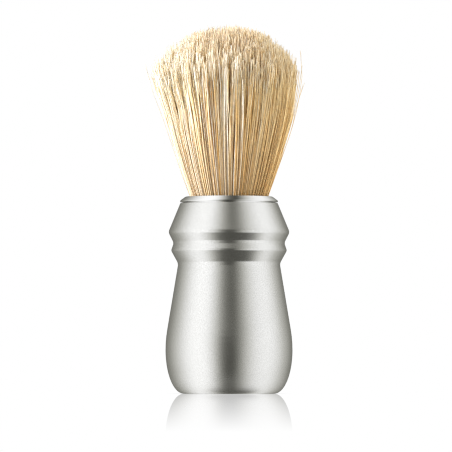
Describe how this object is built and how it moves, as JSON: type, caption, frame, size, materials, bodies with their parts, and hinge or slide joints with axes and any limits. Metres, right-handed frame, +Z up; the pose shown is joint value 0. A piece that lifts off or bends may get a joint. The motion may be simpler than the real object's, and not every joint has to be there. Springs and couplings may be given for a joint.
{
  "type": "shaving brush",
  "caption": "Barber's shaving brush with a waisted satin metal handle, a polished ferrule and a flared knot of natural bristle.",
  "frame": {"origin": "centre of the flat base, on the surface that the brush stands on", "axes": "+Z up along the axis of the handle and the bristles; the brush is turned, so X and Y are equal"},
  "size_m": [0.0452, 0.0452, 0.1153],
  "materials": {
    "satin_metal": "bead-blasted satin",
    "polished_metal": "polished",
    "gasket_rubber": "matte",
    "set_adhesive": "set glue",
    "bristle": "natural bristle with split pale tips",
    "binding_cord": "wound cord",
    "cast_resin": "cast amber resin",
    "core_wood": "turned, unfinished",
    "weight_steel": "as turned",
    "screw_steel": "zinc plated",
    "washer_rubber": "matte",
    "plate_metal": "as turned",
    "seal_rubber": "smooth",
    "ring_steel": "spring steel",
    "pad_rubber": "matte, grooved"
  },
  "bodies": {
    "root": {"handle_shell": "satin_metal", "ferrule": "polished_metal", "ferrule_gasket": "gasket_rubber", "socket_adhesive": "set_adhesive", "bristle_bundle": "bristle", "root_binding": "binding_cord", "resin_plug": "cast_resin", "core_plug": "core_wood", "balance_weight": "weight_steel", "weight_screw": "screw_steel", "screw_washer": "washer_rubber", "base_plate": "plate_metal", "base_seal": "seal_rubber", "retaining_ring": "ring_steel", "base_pad": "pad_rubber"}
  },
  "joints": []
}
